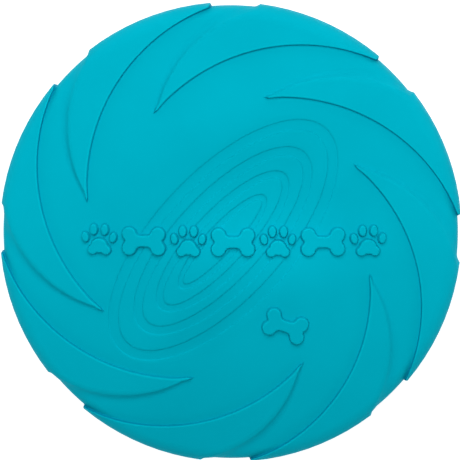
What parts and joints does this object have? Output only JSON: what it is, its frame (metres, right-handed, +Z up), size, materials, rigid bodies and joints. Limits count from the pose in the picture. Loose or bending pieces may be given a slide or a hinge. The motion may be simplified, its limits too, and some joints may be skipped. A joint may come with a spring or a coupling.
{
  "type": "flying disc",
  "caption": "Soft rubber flying disc with a domed crown, thick down-turned rim, raised spiral vanes, shallow elliptical grooves and raised paw and bone emblems.",
  "frame": {"origin": "centre of the circle that the rim rests on, at the bottom of the disc", "axes": "+Z up through the crown, along the spin axis; +X along the row of emblems; +Y towards the emblems' tops"},
  "size_m": [0.1798, 0.1798, 0.032],
  "materials": {
    "rubber": "matte"
  },
  "bodies": {
    "root": {"disc_shell": "rubber", "rim": "rubber", "vane_1": "rubber", "vane_2": "rubber", "vane_3": "rubber", "vane_4": "rubber", "vane_5": "rubber", "vane_6": "rubber", "vane_7": "rubber", "vane_8": "rubber", "emblem_paw_1": "rubber", "emblem_paw_2": "rubber", "emblem_paw_3": "rubber", "emblem_paw_4": "rubber", "emblem_bone_1": "rubber", "emblem_bone_2": "rubber", "emblem_bone_3": "rubber", "emblem_small_bone": "rubber"}
  },
  "joints": []
}
